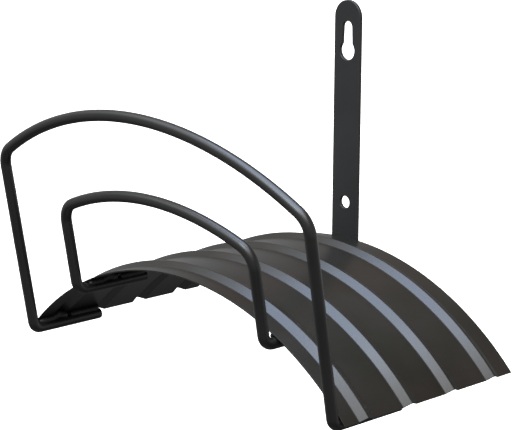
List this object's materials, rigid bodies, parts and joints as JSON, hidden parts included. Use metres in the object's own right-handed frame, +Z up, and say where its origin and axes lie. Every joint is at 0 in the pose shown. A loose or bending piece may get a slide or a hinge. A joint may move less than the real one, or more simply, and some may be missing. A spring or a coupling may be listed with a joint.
{
  "type": "garden hose hanger",
  "caption": "Wall-mounted hose hanger: an arched, ribbed sheet saddle on a flat strap with a keyhole, with two round-rod hoops that keep the coil from sliding off the front.",
  "frame": {"origin": "on the strap's back face, midway between the centres of its two fixing screws", "axes": "+Y into the wall, +Z up, X along the wall across the saddle"},
  "size_m": [0.387, 0.2502, 0.2956],
  "materials": {
    "saddle_coat": "semi-gloss black powder coat on sheet steel",
    "strap_coat": "satin black powder coat on flat bar",
    "rod_coat": "semi-gloss black powder coat on round rod",
    "weld_coat": "black powder coat over rippled weld beads"
  },
  "bodies": {
    "root": {"saddle": "saddle_coat", "wall_strap": "strap_coat", "outer_hoop": "rod_coat", "inner_hoop": "rod_coat", "weld_outer_leg_left_front": "weld_coat", "weld_outer_leg_left_rear": "weld_coat", "weld_inner_leg_left_front": "weld_coat", "weld_inner_leg_left_rear": "weld_coat", "weld_outer_leg_right_front": "weld_coat", "weld_outer_leg_right_rear": "weld_coat", "weld_inner_leg_right_front": "weld_coat", "weld_inner_leg_right_rear": "weld_coat", "weld_foot_left_front": "weld_coat", "weld_foot_left_rear": "weld_coat", "weld_foot_right_front": "weld_coat", "weld_foot_right_rear": "weld_coat"}
  },
  "joints": []
}
